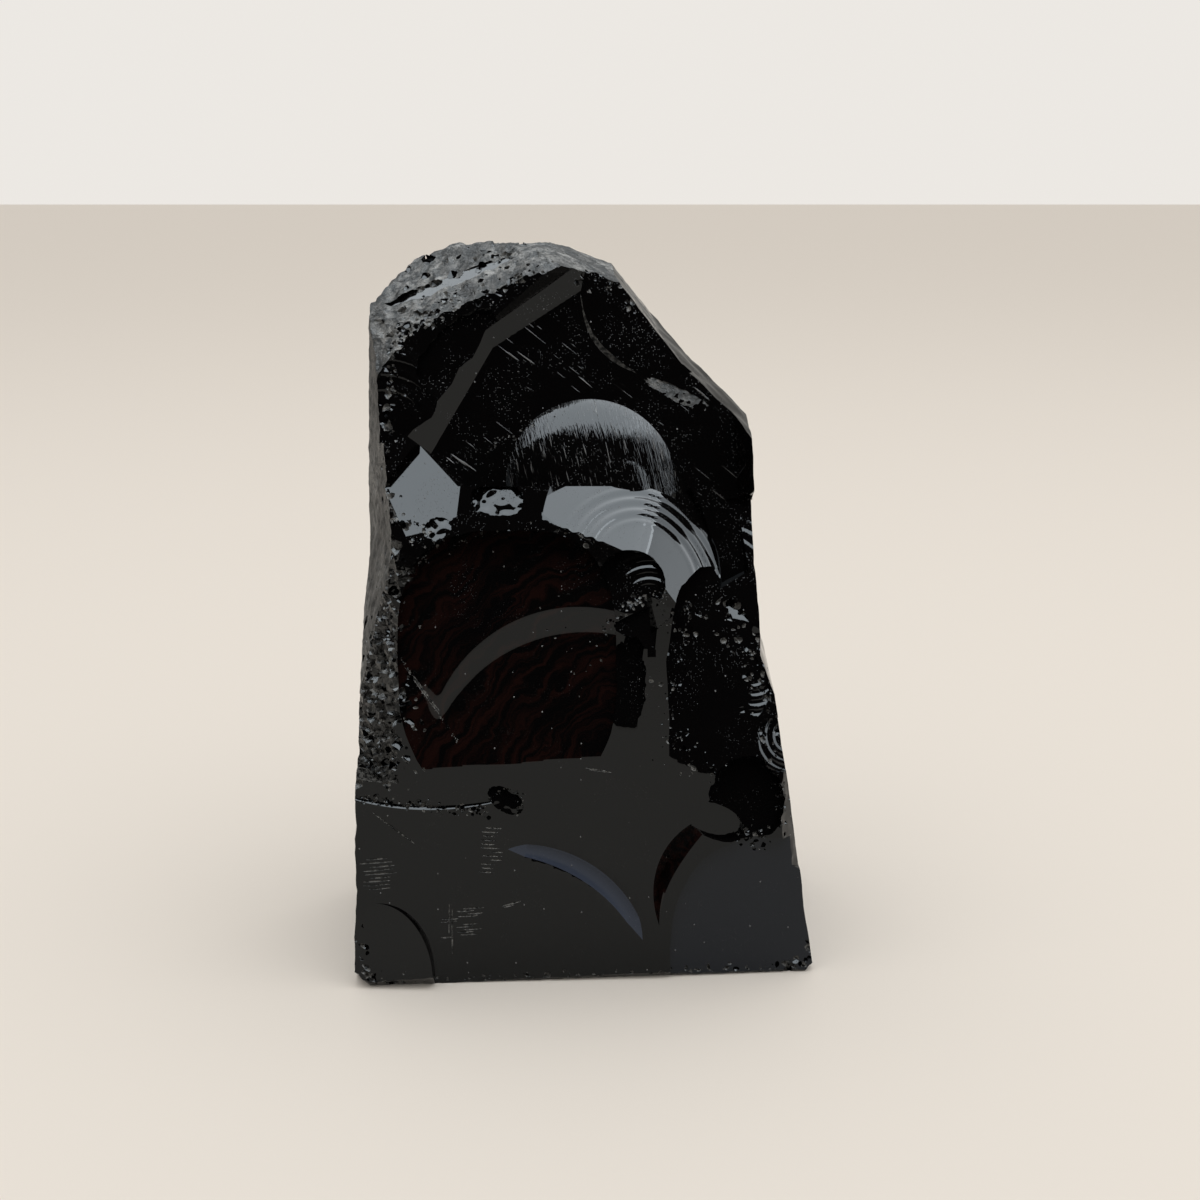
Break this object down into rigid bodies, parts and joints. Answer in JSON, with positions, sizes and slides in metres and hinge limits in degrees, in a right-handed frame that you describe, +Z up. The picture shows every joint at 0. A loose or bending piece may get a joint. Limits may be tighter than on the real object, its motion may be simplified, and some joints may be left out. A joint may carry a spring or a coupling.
{
  "type": "obsidian chunk",
  "caption": "Upright chunk of black volcanic glass with shell-shaped fracture scars, a weathered crown and a flat sawn foot that it stands on.",
  "frame": {"origin": "on the flat foot, under the centre of the bounding box", "axes": "+Z up along the longest extent, -Y out of the large fractured front, +X to the viewer's right"},
  "size_m": [0.0619, 0.0495, 0.095],
  "materials": {
    "obsidian": "glossy fractured black glass, dull pale grey where the weathered skin or crushed edges are left"
  },
  "bodies": {
    "root": {"obsidian_chunk": "obsidian"}
  },
  "joints": []
}
